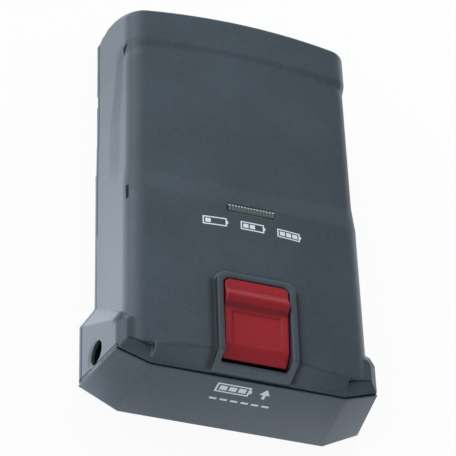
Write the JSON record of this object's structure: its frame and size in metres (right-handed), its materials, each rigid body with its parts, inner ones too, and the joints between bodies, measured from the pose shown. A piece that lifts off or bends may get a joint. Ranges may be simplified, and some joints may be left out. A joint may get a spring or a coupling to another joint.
{
  "type": "vacuum cleaner battery",
  "caption": "Slab-shaped lithium battery pack for a cordless stick vacuum, with flared foot, side charge jack, status window and red thumb release.",
  "frame": {"origin": "Under the middle of the pack, on the flat back that it lies on.", "axes": "+Z out of the button side, +Y towards the end that goes into the machine, X across the width."},
  "size_m": [0.09, 0.1466, 0.0366],
  "materials": {
    "housing_slate": "satin, fine grain",
    "release_red": "satin",
    "steel_bright": "zinc plated",
    "lens_smoke": "smoked, ribbed",
    "cell_sleeve": "shrink sleeve",
    "holder_black": "matt",
    "nickel": "rolled nickel",
    "fish_paper": "paper",
    "foam_grey": "closed-cell foam",
    "board_green": "solder mask",
    "chip_black": "moulded epoxy",
    "capacitor_can": "drawn can",
    "led_clear": "clear resin",
    "lead_red": "silicone insulation",
    "lead_black": "silicone insulation"
  },
  "bodies": {
    "housing": {"front_shell": "housing_slate", "rear_cover": "housing_slate", "base_cap": "housing_slate", "lever_pivot_pin": "steel_bright", "lever_spring": "steel_bright", "rear_cover_screws": "steel_bright", "board_screws": "steel_bright", "status_lens": "lens_smoke", "cell_1": "cell_sleeve", "cell_2": "cell_sleeve", "cell_3": "cell_sleeve", "cell_4": "cell_sleeve", "cell_5": "cell_sleeve", "cell_6": "cell_sleeve", "cell_holder_left": "holder_black", "cell_holder_right": "holder_black", "jack_board_rest": "holder_black", "terminal_block": "holder_black", "charge_jack": "holder_black", "nickel_strips_left": "nickel", "nickel_strips_right": "nickel", "terminal_contacts": "nickel", "jack_centre_pin": "nickel", "jack_sleeve_contact": "nickel", "current_shunt": "nickel", "insulation_sheet_left": "fish_paper", "insulation_sheet_right": "fish_paper", "cell_foam_pad": "foam_grey", "main_board": "board_green", "jack_board": "board_green", "controller_chip": "chip_black", "power_transistors": "chip_black", "board_fuse": "chip_black", "temperature_sensor": "chip_black", "board_capacitors": "capacitor_can", "status_leds": "led_clear", "positive_lead": "lead_red", "jack_lead_positive": "lead_red", "negative_lead": "lead_black", "jack_lead_negative": "lead_black"},
    "lever": {"release_lever": "release_red"}
  },
  "joints": [
    {"name": "release_lever_hinge", "type": "hinge", "parent": "housing", "child": "lever", "pos_m": [0, -0.03325, 0.0268], "axis": [1, 0, 0], "range_deg": [0, 6], "stiffness_Nm_per_rad": 0.8, "springref_deg": -5.73, "deforming": ["lever_spring"]}
  ]
}
